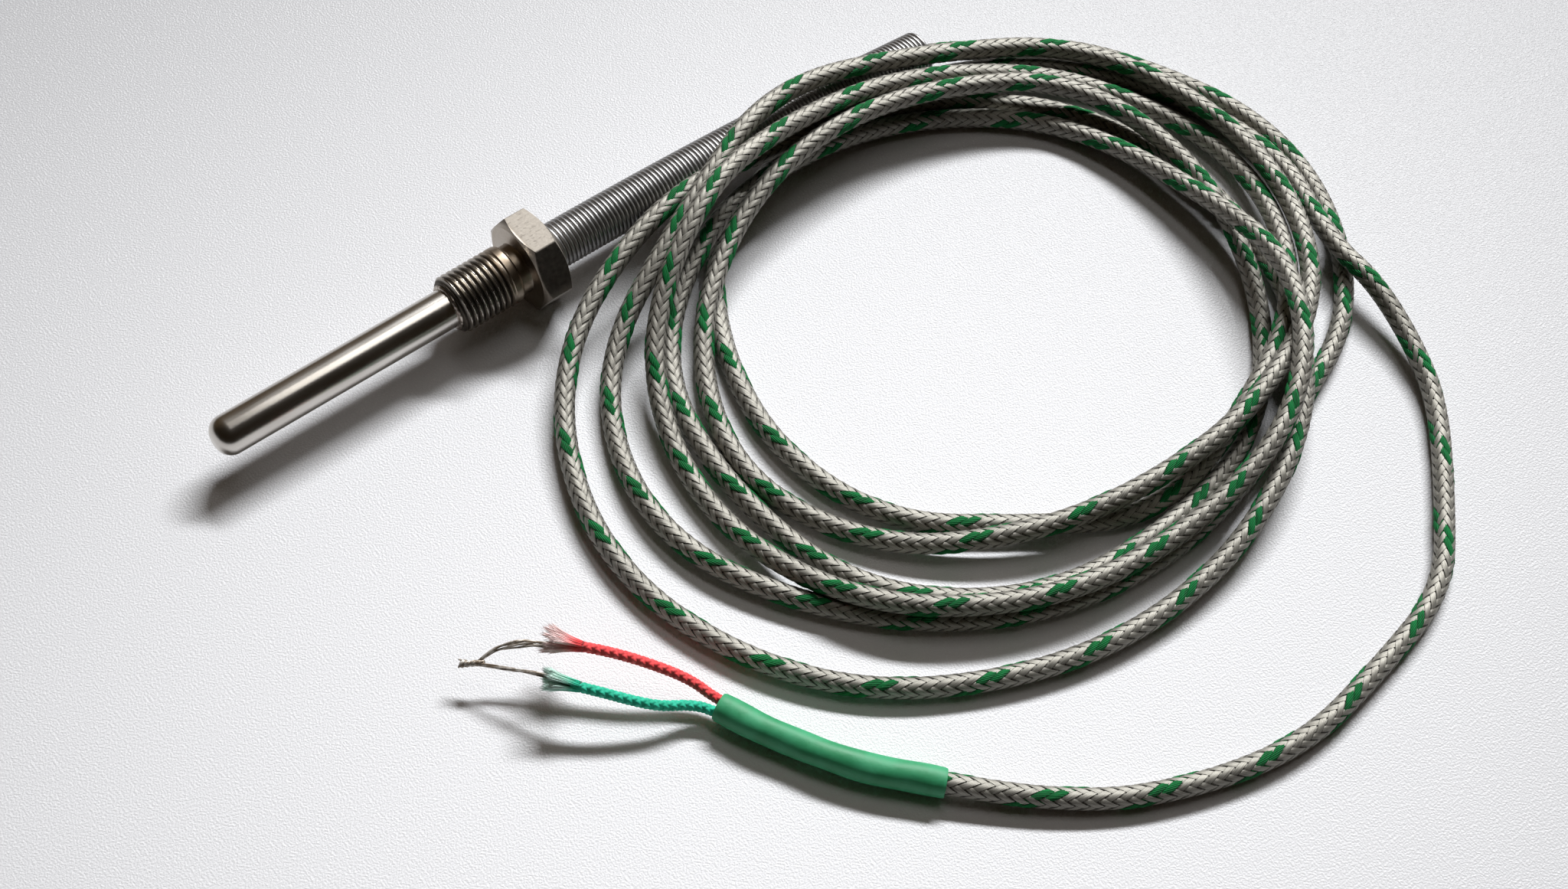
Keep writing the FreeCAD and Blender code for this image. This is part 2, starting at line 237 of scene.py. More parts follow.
clouds.step(0.3, 0.7).blend((0.60, 0.57, 0.53, 1), (0.70, 0.67, 0.63, 1)).feeds(shader, "Base Color")
(lines * 0.08 + clouds * 0.06 + 0.16).feeds(shader, "Roughness")
(lines * 0.5 + place.grain(2600.0) * 0.5).relief(1.2e-6).feeds(shader, "Normal")
settle(sheath, sheath_steel, "sheath_steel", "sheath_tube")

# The fitting: thread, plain land, relief groove, hexagon and rear spigot turned from one piece of
# hexagon bar, chamfered on both faces. Welding has tinted the last turns of the thread and the land brown.
# The thread's roots are painted dark as painted shade, and the hexagon's near flat is painted dark as painted
# shade.
land_x, groove_x, hex_x, hex_rear_x, spigot_x = -23.547, -21.547, -19.347, -12.947, -3.947
thread_radius, thread_pitch, thread_depth, nose_chamfer = 6.0, 1.25, 0.74, 0.9
groove_radius, hex_across_flats, hex_face_radius = 5.2, 18.0, 8.64
spigot_radius, cable_bore_radius, sheath_fit_radius = 3.75, 2.6, 4.03
land_edge, spigot_chamfer, spigot_fillet, thread_step = 0.8, 0.4, 0.2, 0.04

near_corner = np.array([0, 0.7, 1.6, 3, 5, 8, 12, 17, 23.5])
sector = np.concatenate([near_corner, [30], 60 - near_corner[:0:-1]])
around = np.radians(np.concatenate([sector + 60 * count for count in range(6)]))
flats = np.radians(30 + 60 * np.arange(6))
facing = np.maximum(np.cos(around[:, None] - flats), 0)
corner_power = 120
hex_radius = hex_across_flats / 2 / (facing ** corner_power).sum(1) ** (1 / corner_power)


def thread_radii(x, angle):
    """Radius of the thread: 60 degree flanks with narrow flat crests and roots, wound right-handed.

    The crests climb one pitch for each turn; the depth fades out at the land, and the nose is chamfered.
    """
    phase = (x - nose_x) / thread_pitch - angle / (2 * np.pi)
    from_crest = np.abs(2 * (phase - np.floor(phase)) - 1)
    fade = np.clip((land_x - x) / 0.9, 0, 1)
    radius = thread_radius - thread_depth * fade * np.clip((from_crest - 0.17) / 0.68, 0, 1)
    return np.minimum(radius, thread_radius - nose_chamfer + 0.05 + (x - nose_x))


def hex_chamfer(face_x, inward, share):
    """Part way up the 30 degree cone from the face's circle to the hexagon's own outline."""
    rise = (hex_radius - hex_face_radius) * share
    return face_x + inward * rise * np.tan(np.radians(30)), hex_face_radius + rise


rounding = np.radians(np.linspace(90, 0, 7))
rings = [(nose_x, sheath_fit_radius), (nose_x, thread_radius - nose_chamfer)]
rings += [(x, thread_radii(x, around))
          for x in np.arange(nose_x + thread_step, land_x + thread_step / 2, thread_step)]
rings += [(land_x + 0.6, thread_radius)]
rings += [(groove_x - land_edge + land_edge * np.cos(a), groove_radius + land_edge * np.sin(a))
          for a in rounding]
rings += [(hex_x - 0.35, groove_radius), (hex_x - 0.1, groove_radius + 0.1), (hex_x, groove_radius + 0.35)]
rings += [hex_chamfer(hex_x, 1, share) for share in (0, 0.25, 0.5, 0.75, 1)]
rings += [hex_chamfer(hex_rear_x, -1, share) for share in (1, 0.75, 0.5, 0.25, 0)]
rings += [(hex_rear_x, spigot_radius + spigot_fillet), (hex_rear_x + spigot_fillet, spigot_radius)]
rings += [(spigot_x - spigot_chamfer, spigot_radius), (spigot_x, spigot_radius - spigot_chamfer)]
rings += [(spigot_x, cable_bore_radius), (seat_x, cable_bore_radius), (seat_x, sheath_fit_radius)]
ring_x = np.stack([x + 0 * around for x, _ in rings])
ring_radius = np.stack([radius + 0 * around for _, radius in rings])
bar = np.stack([ring_x, ring_radius * np.cos(around), axis_height + ring_radius * np.sin(around)], -1)[None]
fitting = skin("turned_fitting", bar, wrap_rows=True, crease=24.0)
fitting_steel, shader, place, _ = finish("fitting_steel", {"Metallic": 1.0})
along_axis = place.node("SeparateXYZ", {}, {"Vector": place})
height = place.node("SeparateXYZ", {}, {"Vector": place}, 2)
heated = along_axis.step(-0.0285, -0.0230) * (1.0 - along_axis.step(-0.0205, -0.0180))
tint = heated * (place.grain(420.0) * 0.6 + 0.6)
flank = along_axis.step(-0.0192, -0.0186)
scuffs = place.stretched((900.0, 2600.0, 700.0)).grain(1.0, 5.0).step(0.56, 0.70) * flank
steel = place.grain(2400.0, 4.0).blend((0.34, 0.315, 0.28, 1), (0.52, 0.48, 0.425, 1))
worn = (flank * 0.35 + scuffs * 0.10).blend(steel, (0.25, 0.22, 0.19, 1))
tinted = (tint * 0.6).blend(worn, (0.25, 0.165, 0.09, 1))
# Painted shade: the hexagon flat that faces the coil (toward -y, up 30 degrees) is painted nearly black.
near_flat = place.node("VectorMath", {"operation": "DOT_PRODUCT"}, {0: place, 1: (0.0, -0.866, 0.5)}, 1)
shaded_flat_mask = near_flat.step(0.0131, 0.0134) * height.step(0.0080, 0.0108)
flat_painted_shade = shaded_flat_mask * (place.grain(1100.0, 4.0) * 0.5 + 0.58)
flat_shaded = flat_painted_shade.blend(tinted, (0.055, 0.047, 0.040, 1))
# Painted shade: the thread's roots, below the crests, are painted nearly black; the same mask makes them
# rougher.
end_view = place.stretched((0.0, 1.0, 1.0))
off_axis = end_view.node("VectorMath", {"operation": "DISTANCE"}, {0: end_view, 1: (0.0, 0.0, 0.009)}, 1)
shaded_root_mask = (1.0 - off_axis.step(0.00535, 0.0059)) * (1.0 - along_axis.step(-0.0240, -0.0235))
(shaded_root_mask * 0.88).blend(flat_shaded, (0.030, 0.021, 0.013, 1)).feeds(shader, "Base Color")
rough = place.grain(1500.0, 3.0) * 0.12 + scuffs * 0.08 + flank * 0.46 + shaded_root_mask * 0.3 + tint * 0.16 + 0.16
rough.feeds(shader, "Roughness")
(place.grain(2400.0, 3.0) * flank + scuffs * 0.5).relief(6e-6).feeds(shader, "Normal")
settle(fitting, fitting_steel, "fitting_steel", "threaded_fitting")

# The weld: a bead run round the sheath where it enters the nose of the fitting, of melted steel that set
# in overlapping ripples, with a ragged dull edge.
bead_columns, section_columns, bead_bulge, bead_lift = 168, 14, 0.52, 0.22
bead_angle = np.arange(bead_columns) * 2 * np.pi / bead_columns
section = np.arange(section_columns) * 2 * np.pi / section_columns
ripple = (0.06 * np.abs(np.sin(bead_angle * 13)) + 0.05 * np.sin(bead_angle * 3 + 1.0)
          + 0.04 * np.sin(bead_angle * 7))
bulge = (bead_bulge + ripple)[:, None]
bead_radius = sheath_radius + bead_lift + bulge * np.sin(section)
bead = np.stack([nose_x - 0.10 - 0.9 * bulge * np.cos(section) + 0.06 * np.sin(bead_angle * 5)[:, None],
                 bead_radius * np.cos(bead_angle)[:, None],
                 axis_height + bead_radius * np.sin(bead_angle)[:, None]], -1)[None]
weld = skin("weld_ring", bead, wrap_rows=True)
weld_metal = mottled("weld_metal", (0.26, 0.22, 0.19, 1), (0.52, 0.47, 0.42, 1), 900.0, 0.34, 1.0, 2.5e-5)
settle(weld, weld_metal, "weld_metal", "weld_bead")

# The cable: two insulated leads in a core under a braid of flat bundles of fine tinned wire, eight laid
# each way, two over two. Two neighbouring bundles of one hand are green yarn, the tracer.
cable_diameter, core_radius, cable_lay, bundles = 4.1, 1.6, 20.3, 8
lead_out = [(-17.35, 0, 9), (8.05, 0, 9), (46.98, -0.3, 7.5), (71, -0.8, 5.5), (85.5, -1.4, 4.6),
            (99, -9, 2.05)]
cable_tail = [(115.5, -90.5, 6.2), (115.5, -102, 6.2), (112.5, -116, 3.6), (106.5, -129, 2.1),
              (92, -144, 2.1), (76, -158.5, 2.1), (54.5, -162.5, 2.1), (33, -165, 2.1),
              (12, -159.5, 2.1), (-7.5, -149, 2.1), (-29.5, -125.8, 3.1), (-39, -112, 3.1),
              (-43.2, -102, 3.1)]
coil_middle = (44.0, -62.0)
coil_directions = [30, 0, -30, -60, -90, -120, -150, 180, 150, 120, 90, 60]
coil_turns = [
    ([81, 87, 78, 60.5, 59, 62, 67, 75.5, 71.5, 57, 61.5, 64.5],
     [0, 0, 0, 0, 0, 0, 0, 0.5, 0, 13, 15, 9]),
    ([78.5, 77, 69, 55, 47, 46.5, 51, 55, 52.5, 50, 50.5, 56],
     [4, 4, 7, 8, 5, 3, 0, 0, 1, 6, 10, 8]),
    ([66, 62.5, 58.5, 56.5, 54.5, 58.5, 61, 58, 59.5, 55, 53, 55.5],
     [6, 4, 0, 0, 0, 0, 0, 0, 0, 5, 3, 0]),
    ([59, 57.5, 63, 63, 58.5, 61.5, 66, 64.5, 62.5, 55.5, 54, 60],
     [0, 4, 12, 10, 4, 4, 4, -1, 4, 17.5, 13, 8.5]),
    ([72, 74.5, 64.5, 53, 51, 42.5, 45, 45.5, 47, 53, 57, 60],
     [0.5, 0, 6, 4, 0, 0, 0, 0, 0, 0, 0, 0]),
    ([63.5, 64.5, 65, 65, 67.5, 73.5, 83, 86.5, 80, 64, 52.5, 62.5],
     [0, 0, 0, 6, 1, 0, 0, 0, 2, 11, 8, 5]),
    ([76.5, 81.5], [0, 0.5])]
swell = 8 / (6 + 2 * np.cos(np.radians(30)))


def coil_points():
    """Each turn's points: a radius and a rise off the floor, in millimetres, at twelve directions.

    The control points stand a little further out, so that the spline passes at the stated radius.
    """
    for radii, rises in coil_turns:
        for direction, radius, rise in zip(np.radians(coil_directions), radii, rises):
            yield (coil_middle[0] + radius * swell * np.cos(direction),
                   coil_middle[1] + radius * swell * np.sin(direction), cable_diameter / 2 + rise)


def route_curve(name, points):
    """A smooth open spline with these points, in millimetres, as its control points."""
    curve = bpy.data.curves.new(name, "CURVE")
    curve.dimensions = "3D"
    curve.resolution_u = 24
    spline = curve.splines.new("NURBS")
    spline.points.add(len(points) - 1)
    spline.points.foreach_set("co", np.c_[np.array(points) * 0.001, np.ones(len(points))].ravel())
    spline.order_u = 3
    spline.use_endpoint_u = True
    return curve


def run_of(curve):
    """Distance along a route's spline and its points, in millimetres."""
    holder = bpy.data.objects.new(curve.name, curve)
    mesh = bpy.data.meshes.new_from_object(holder)
    points = np.empty(len(mesh.vertices) * 3)
    mesh.vertices.foreach_get("co", points)
    points = points.reshape(-1, 3) * 1000
    bpy.data.objects.remove(holder)
    bpy.data.meshes.remove(mesh)
    steps = np.linalg.norm(np.diff(points, axis=0), axis=1)
    return np.concatenate([[0], np.cumsum(steps)]), points


def unit(vectors):
    """Vectors brought to length one."""
    return vectors / np.linalg.norm(vectors, axis=-1, keepdims=True)


def on_run(run, distance):
    """Points on a run at these distances."""
    distances, points = run
    return np.stack([np.interp(distance, distances, points[:, axis]) for axis in range(3)], -1)


def across_run(run, distance):
    """Points on a run at these distances, with the unit vectors to its right and upward there."""
    ahead = on_run(run, distance + 1.2) - on_run(run, distance - 1.2)
    right = unit(np.cross(ahead, (0, 0, 1)))
    return on_run(run, distance), right, unit(np.cross(right, ahead))


cable_curve = route_curve("cable_core", lead_out + list(coil_points()) + cable_tail)
cable_run = run_of(cable_curve)
cable_length = cable_run[0][-1]
cable_curve.bevel_depth = core_radius * 0.001
cable_curve.bevel_resolution = 2
cable_curve.use_fill_caps = True
cable = bpy.data.objects.new("cable_core", cable_curve)
bpy.context.scene.collection.objects.link(cable)
core_wrap = mottled("core_wrap", (0.035, 0.030, 0.026, 1), (0.075, 0.066, 0.058, 1), 700.0, 0.70, 0.0, 3e-5)
settle(cable, core_wrap, "braided_cable", "cable_lead_out", "cable_coil", "cable_tail")

woven_steps = int(np.floor(4 * bundles * cable_length / cable_lay)) - 4
weave_middle, weave_swing = 1.85, 0.11


def braid(name, hand, lanes, width, crown):
    """The flat bundles of one hand, as helices on the cable.

    Lane coordinates run across both hands: own is constant along a bundle, other counts the bundles that
    it crosses. Their mean gives the angle round the cable and their difference the distance along it.
    The radius swings out over two crossings and in under two. A bundle takes up a width of its lane, and
    its flat top stands by the crown over its two edges.
    """
    lane = np.array(lanes, float)[:, None, None]
    step = np.arange(woven_steps)[None, :, None] * 0.5
    offset = np.array([-0.5, -0.3, 0.3, 0.5])[None, None, :] * width
    own = lane + offset
    other = lane + hand * (1.5 + step) + 0 * offset
    left, right_lane = (own, other) if hand > 0 else (other, own)
    angle = (left + right_lane) / 2 * 2 * np.pi / bundles
    distance = (right_lane - left) / (2 * bundles) * cable_lay
    swing = np.clip(1.6 * np.cos(2 * np.pi * (other + lane - 0.5) / 4), -1, 1) * hand
    raised = np.array([0.0, 1.0, 1.0, 0.0]) * crown
    radius = weave_middle + weave_swing * swing + raised + 0 * angle
    middle, right, up = across_run(cable_run, distance)
    points = middle + radius[..., None] * (np.cos(angle)[..., None] * right + np.sin(angle)[..., None] * up)
    points[:, [0, -1]] = points[:, [0, -1]].mean(axis=2, keepdims=True)
    along = np.broadcast_to(step + lane * 7.3, (len(lanes), woven_steps, 5))
    return skin(name, points, across=np.array([0.0, 0.2, 0.8, 1.0, 0.0]), along=along, crease=80.0)


def bundle_finish(name, dark, light, shadow, metallic, roughness, wires, twist, depth):
    """Fine wires or plies side by side along a bundle, straight or twisted, lighter and darker along it.

    Toward a bundle's edges the colour falls to the shadow colour: painted shade in the gap between the
    bundles.
    """
    material, shader, place, lay = finish(name, {"Metallic": metallic, "Specular IOR Level": 0.25})
    crosswise = lay.node("SeparateXYZ", {}, {"Vector": lay})
    lengthwise = lay.node("SeparateXYZ", {}, {"Vector": lay}, 1)
    streaks = lay.stretched((wires, 0.35, 1.0)).grain(1.0, 2.0)
    ridge = ((crosswise * wires + lengthwise * twist) * np.pi).sine().size()
    # The ridge also darkens the grooves between the wires in colour: painted shade.
    tone = streaks * 0.6 + place.grain(160.0, 3.0) * 0.25 + ridge * 0.15
    # Painted shade: toward each bundle's edges the colour falls to the shadow colour.
    gap_painted_shade = (crosswise * 2.0 - 1.0).size().step(0.80, 1.0)
    gap_painted_shade.blend(tone.step(0.28, 0.66).blend(dark, light), shadow).feeds(shader, "Base Color")
    (streaks * 0.22 + (roughness - 0.11)).feeds(shader, "Roughness")
    (ridge * 0.7 + streaks * 0.3).relief(depth).feeds(shader, "Normal")
    return material


tinned_wire = bundle_finish("tinned_wire", (0.160, 0.150, 0.130, 1), (0.40, 0.386, 0.342, 1),
                            (0.03, 0.025, 0.02, 1), 0.62, 0.50, 7.0, 0.0, 3e-5)
green_yarn = bundle_finish("green_yarn", (0.000, 0.055, 0.012, 1), (0.000, 0.195, 0.044, 1),
                           (0.0, 0.02, 0.005, 1), 0.0, 0.7, 3.0, 2.2, 1.2e-4)
wire_width, wire_crown, yarn_width, yarn_crown = 0.87, 0.06, 1.04, 0.17
braid_pieces = [braid("braid_left_hand_a", 1, [2, 3, 4], wire_width, wire_crown),
                braid("braid_left_hand_b", 1, [5, 6, 7], wire_width, wire_crown),
                braid("braid_right_hand_a", -1, [0, 1, 2, 3], wire_width, wire_crown),
                braid("braid_right_hand_b", -1, [4, 5, 6, 7], wire_width, wire_crown)]
tracer = braid("braid_tracer", 1, [0, 1], yarn_width, yarn_crown)
for piece in braid_pieces:
    settle(piece, tinned_wire, "braided_cable")
settle(tracer, green_yarn, "braided_cable")

# The strain relief: a close-wound spring of round stainless wire, pressed over the rear spigot against
# the hexagon. The cable runs through it, and it has sagged a little toward the floor.
spring_radius, spring_wire_radius, spring_turns, spring_bend_radius = 4.325, 0.475, 101, 1080.0
spring_lean, turn_steps, wire_sides = np.radians(14), 24, 10
bend = np.array([0, -np.sin(spring_lean), -np.cos(spring_lean)])
straight = np.array([1.0, 0, 0])
wound = np.arange(spring_turns * turn_steps + 1) / turn_steps


def spring_grid():
    """A round wire wound on a circle that moves along an arc, one wire's thickness for each turn."""
    lean = (wound * 2 * spring_wire_radius / spring_bend_radius)[:, None]
    outward = bend * np.cos(lean) - straight * np.sin(lean)
    forward = straight * np.cos(lean) + bend * np.sin(lean)
    sideways = np.cross(straight, bend)
    along_arc = spring_bend_radius * (straight * np.sin(lean) + bend * (1 - np.cos(lean)))
    inset = spring_wire_radius * 0.98 * forward * (1 - wound[:, None] / spring_turns)
    phase = (wound * 2 * np.pi)[:, None]
    spoke = np.cos(phase) * outward + np.sin(phase) * sideways
    line = np.array([hex_rear_x, 0, axis_height]) + along_arc + inset + spring_radius * spoke
    ring = (np.arange(wire_sides) * 2 * np.pi / wire_sides)[None, :, None]
    wire = spring_wire_radius * (np.cos(ring) * spoke[:, None] + np.sin(ring) * forward[:, None])
    whole = np.clip(np.minimum(wound, spring_turns - wound) * 40, 0, 1)[:, None, None]
    return (line[:, None] + wire * whole)[None]


spring = skin("wound_spring", spring_grid(), across=np.linspace(0, 1, wire_sides + 1), along=wound[:, None],
              crease=80.0)
spring_wire, shader, place, lay = finish("spring_wire", {"Metallic": 1.0})
draw = lay.stretched((26.0, 1.2, 1.0)).grain(1.0, 2.0)
place.grain(240.0, 3.0).blend((0.32, 0.315, 0.315, 1), (0.42, 0.415, 0.41, 1)).feeds(shader, "Base Color")
(draw * 0.14 + 0.32).feeds(shader, "Roughness")
draw.relief(4e-6).feeds(shader, "Normal")
settle(spring, spring_wire, "spring_wire", "strain_relief_spring")

# The sleeve: green heat-shrink tube shrunk over the cut end of the braid. It follows the lumps under it,
# and its mouth is drawn flat where the two leads come out.
sleeve_radius, sleeve_wall, sleeve_length, sleeve_mouth = 2.8, 0.45, 42.1, 6.0
cable_distances, cable_line = cable_run
mouth_point = cable_line[-1] + unit(cable_line[-1] - cable_line[-2]) * sleeve_mouth
sleeve_run = np.append(cable_distances, cable_length + sleeve_mouth), np.vstack([cable_line, mouth_point])


def sleeve_grid(rows, columns):
    """A tube on the end of the cable's route, out along its outer face and back along its inner face.

    Its radius swells and sinks by slow waves, and toward the mouth it grows narrower in height.
    """
    share = np.concatenate([np.linspace(0, 1, rows), np.linspace(1, 0, rows)])[:, None]
    inner = np.repeat([0.0, 1.0], rows)[:, None]
    angle = np.arange(columns) * 2 * np.pi / columns
    middle, right, up = across_run(sleeve_run, sleeve_run[0][-1] - sleeve_length * (1 - share[:, 0]))
    lumps = (0.08 * np.sin(share * 13 + angle) + 0.05 * np.sin(share * 22 - 2 * angle + 1)
             + 0.08 * np.sin(share * 8))
    mouth = np.clip((share - 0.82) / 0.18, 0, 1) ** 2
    rim = np.clip(np.minimum(share, 1 - share) / 0.008, 0, 1) ** 0.5
    radius = sleeve_radius - 0.12 + lumps - sleeve_wall * inner - 0.12 * (1 - rim) * (1 - 2 * inner)
    wide = radius * (1 - 0.02 * mouth)
    high = radius * (1 - 0.16 * mouth)
    return (middle[:, None] + (wide * np.cos(angle))[..., None] * right[:, None]
            + (high * np.sin(angle))[..., None] * up[:, None])[None]


sleeve = skin("shrunk_sleeve", sleeve_grid(90, 48), wrap_rows=True, crease=60.0)
green_sleeve, shader, place, _ = finish("green_sleeve", {"Specular IOR Level": 0.5, "Subsurface Weight": 0.12,
                                                         "Subsurface Radius": (0.001, 0.002, 0.0015)})
clouded = place.grain(260.0, 4.0)
clouded.step(0.3, 0.7).blend((0.030, 0.305, 0.125, 1), (0.050, 0.385, 0.178, 1)).feeds(shader, "Base Color")
(clouded * 0.2 + 0.45).feeds(shader, "Roughness")
(place.grain(300.0, 2.0) + place.grain(2200.0) * 0.12).relief(1.2e-4).feeds(shader, "Normal")
settle(sleeve, green_sleeve, "green_sleeve", "shrink_sleeve")

# The two leads: stranded wire in a glass-fibre braid, dyed red and green, that comes out of the sleeve.
# The braid is cut back with a knife, so its fibres splay out pale at the end.
lead_radius, lead_lay, lead_bundles, yarn_height = 1.0, 6.4, 4, 0.17
frayed_mark = 100.0
red_points = [(-42.23, -101.59, 3.1), (-44.94, -95.14, 3.1), (-46.7, -89.8, 4.8), (-51.9, -83.1, 7.3),
              (-56.5, -77.4, 8.2), (-60.1, -73.5, 8.4)]
green_points = [(-44.17, -102.41, 3.1), (-46.88, -95.95, 3.1), (-49.6, -93.2, 3.6), (-54.2, -91, 5),
                (-57.9, -87.5, 6.2), (-61.6, -83.5, 7.6), (-65.1, -79.4, 8.2)]


def braided_lead(name, run, rows, columns):
    """A tube whose radius is the higher of two crossing sets of round yarns, over one and under one.

    The yarns are cosine ridges along lines of constant angle less or plus the turn of the lay, and the
    product of the two cosines says which set lies on top.
    """
    distance = np.linspace(0, run[0][-1], rows)[:, None]
    angle = np.arange(columns) * 2 * np.pi / columns
    turn = 2 * np.pi * distance / lead_lay
    one, two = (angle - turn) * lead_bundles / 2, (angle + turn) * lead_bundles / 2
    top = np.clip(2.5 * np.cos(one) * np.cos(two), -1, 1)
    height = np.maximum(np.cos(one) ** 2 * (0.5 + 0.5 * top), np.cos(two) ** 2 * (0.5 - 0.5 * top))
    radius = lead_radius - yarn_height + yarn_height * height
    middle, right, up = across_run(run, distance[:, 0])
    spoke = np.cos(angle)[:, None] * right[:, None] + np.sin(angle)[:, None] * up[:, None]
    points = middle[:, None] + radius[..., None] * spoke
    points[[0, -1]] = points[[0, -1]].mean(axis=1, keepdims=True)
    return skin(name, points[None], across=np.linspace(0, 1, columns + 1), along=distance, crease=80.0)


def fibre_finish(name, deep, bright, pale, depth):
    """Dyed glass fibre: matte, a little uneven in dye, with fine fibres.

    It is pale toward the tips of the frayed ends, whose UV counts from the frayed mark at their roots.
    """
    material, shader, place, lay = finish(name, {"Sheen Weight": 0.3, "Sheen Roughness": 0.4,
                                                 "Specular IOR Level": 0.3})
    lengthwise = lay.node("SeparateXYZ", {}, {"Vector": lay}, 1)
    dye = place.grain(900.0, 4.0).step(0.3, 0.7).blend(deep, bright)
    lengthwise.step(frayed_mark + 0.15, frayed_mark + 0.85).blend(dye, pale).feeds(shader, "Base Color")
    (place.grain(2500.0) * 0.2 + 0.6).feeds(shader, "Roughness")
    place.grain(5200.0, 3.0).relief(depth).feeds(shader, "Normal")
    return material


def tubes(name, paths, radius, sides, along):
    """Thin round rods along paths of the shape (rods, points, 3), each closed at both ends."""
    ahead = np.gradient(paths, axis=1)
    right = unit(np.cross(ahead, (0.31, 0.17, 0.93)))
    up = unit(np.cross(right, ahead))
    angle = (np.arange(sides) * 2 * np.pi / sides)[:, None]
    thick = np.broadcast_to(np.asarray(radius, float), paths.shape[:2])[..., None, None]
    points = paths[:, :, None] + thick * (np.cos(angle) * right[:, :, None] + np.sin(angle) * up[:, :, None])
    points[:, [0, -1]] = points[:, [0, -1]].mean(axis=2, keepdims=True)
    return skin(name, points, across=np.linspace(0, 1, sides + 1), along=along[:, :, None], crease=80.0)


def splayed_end(name, run, yarns, fibres, spread, length, seed):
    """The cut yarns at a lead's end, each a clump of fibres.

    A yarn leaves the rim along the lead and bends outward, faster toward its tip, by its own share of
    the spread. Its fibres keep close at the root and drift a little apart.
    """
    pick = np.random.default_rng(seed)
    middle, right, up = across_run(run, np.array([run[0][-1] - 2.0]))
    ahead = np.cross(up, right)[0]
    count = yarns * fibres
    turn = np.arange(yarns) / yarns * 2 * np.pi + pick.normal(0, 0.3, yarns)
    opening = spread * pick.uniform(0.15, 1.0, yarns)
    reach = length * pick.uniform(0.72, 1.0, yarns)
    turn, opening, reach = [np.repeat(value, fibres)[:, None, None] for value in (turn, opening, reach)]
    turn = turn + pick.normal(0, 0.14, (count, 1, 1))
    reach = reach * pick.uniform(0.86, 1.0, (count, 1, 1))
    depth = pick.uniform(0.55, 0.98, (count, 1, 1))
    share = np.linspace(0, 1, 9)[None, :, None]
    outward = np.cos(turn) * right[0] + np.sin(turn) * up[0]
    drift = pick.normal(0, 0.24, (count, 1, 3)) * share ** 2
    away = lead_radius * depth + opening * share ** 1.5
    paths = middle[0] + ahead * reach * share + outward * away + drift
    along = np.broadcast_to(frayed_mark + share[..., 0], paths.shape[:2])
    return tubes(name, paths, 0.105 * (1 - 0.4 * share[..., 0]), 5, along)


red_run = run_of(route_curve("red_lead_route", red_points))
green_run = run_of(route_curve("green_lead_route", green_points))
red_fibre = fibre_finish("red_fibre", (0.88, 0.060, 0.066, 1), (1.0, 0.110, 0.115, 1),
                         (1.0, 0.80, 0.78, 1), 3e-5)
green_fibre = fibre_finish("green_fibre", (0.012, 0.450, 0.270, 1), (0.030, 0.610, 0.395, 1),
                           (0.72, 0.94, 0.85, 1), 3e-5)
leads = []
for colour, run, fibre, spread, reach, seed in [("red", red_run, red_fibre, 2.6, 8.4, 11),
                                                ("green", green_run, green_fibre, 1.2, 7.6, 23)]:
    lead = braided_lead(colour + "_braid", run, 330, 40)
    tuft = splayed_end(colour + "_frayed_end", run, 15, 30, spread, reach, seed)
    settle(lead, fibre, colour + "_fibre", colour + "_lead")
    settle(tuft, fibre, colour + "_fibre")
    leads.append((lead, tuft, run))

# The bare strands: each lead's conductor is a few fine alloy wires, grey-brown and springy, that spread
# a little apart, meet, and are twisted together at the end.
strand_radius = 0.2
red_strand_points = [(-58.6, -75.2, 8.4), (-60.1, -73.5, 8.4), (-63, -71.3, 8.2), (-66, -68.2, 7.8),
                     (-70, -65.4, 7), (-72.6, -64.8, 6.1), (-74.9, -64.7, 5.3)]
green_strand_points = [(-63.9, -80.9, 8.2), (-65.1, -79.4, 8.2), (-67.3, -75.2, 8), (-71.3, -69.7, 6.6),
                       (-73.3, -66.8, 5.8), (-74.9, -64.8, 5.3)]
twist_start, twist_ahead = np.array([-74.3, -65.1, 5.4]), unit(np.array([-2.5, 2.0, -0.4]))


def loose_strands(name, points, count, spread, seed):
    """Wires wound slowly about a route, further from it at mid-run than at its ends."""
    pick = np.random.default_rng(seed)
    run = run_of(route_curve(name + "_route", points))
    share = np.linspace(0, 1, 40)
    middle, right, up = across_run(run, share * run[0][-1])
    start = (np.arange(count) / count * 2 * np.pi + pick.uniform(-0.4, 0.4, count))[:, None]
    away = 0.16 + spread * pick.uniform(0.5, 1.2, count)[:, None] * np.sin(np.pi * share) ** 2
    angle = start + share * pick.uniform(4.0, 7.0, count)[:, None]
    paths = middle + (away * np.cos(angle))[..., None] * right + (away * np.sin(angle))[..., None] * up
    return tubes(name, paths, strand_radius, 7, np.broadcast_to(share * 17, paths.shape[:2]))


def twisted_wires(name, count, seed):
    """Wires wound tightly about a straight line; their cut tips differ in reach and open a little."""
    pick = np.random.default_rng(seed)
    share = np.linspace(0, 1, 36)[None, :]
    reach = pick.uniform(3.4, 4.9, count)[:, None]
    angle = np.arange(count)[:, None] / count * 2 * np.pi + (share * reach + 1.0) * 2.4
    opened = np.clip(share - 0.65, 0, 1) * pick.uniform(0, 4, count)[:, None]
    away = 0.38 * pick.uniform(0.7, 1.2, count)[:, None] * (1 + opened)
    right = unit(np.cross(twist_ahead, (0, 0, 1.0)))
    up = np.cross(right, twist_ahead)
    paths = (twist_start + (share * reach - 1.0)[..., None] * twist_ahead
             + (away * np.cos(angle))[..., None] * right + (away * np.sin(angle))[..., None] * up)
    return tubes(name, paths, strand_radius, 7, share * 5 + 0 * reach)


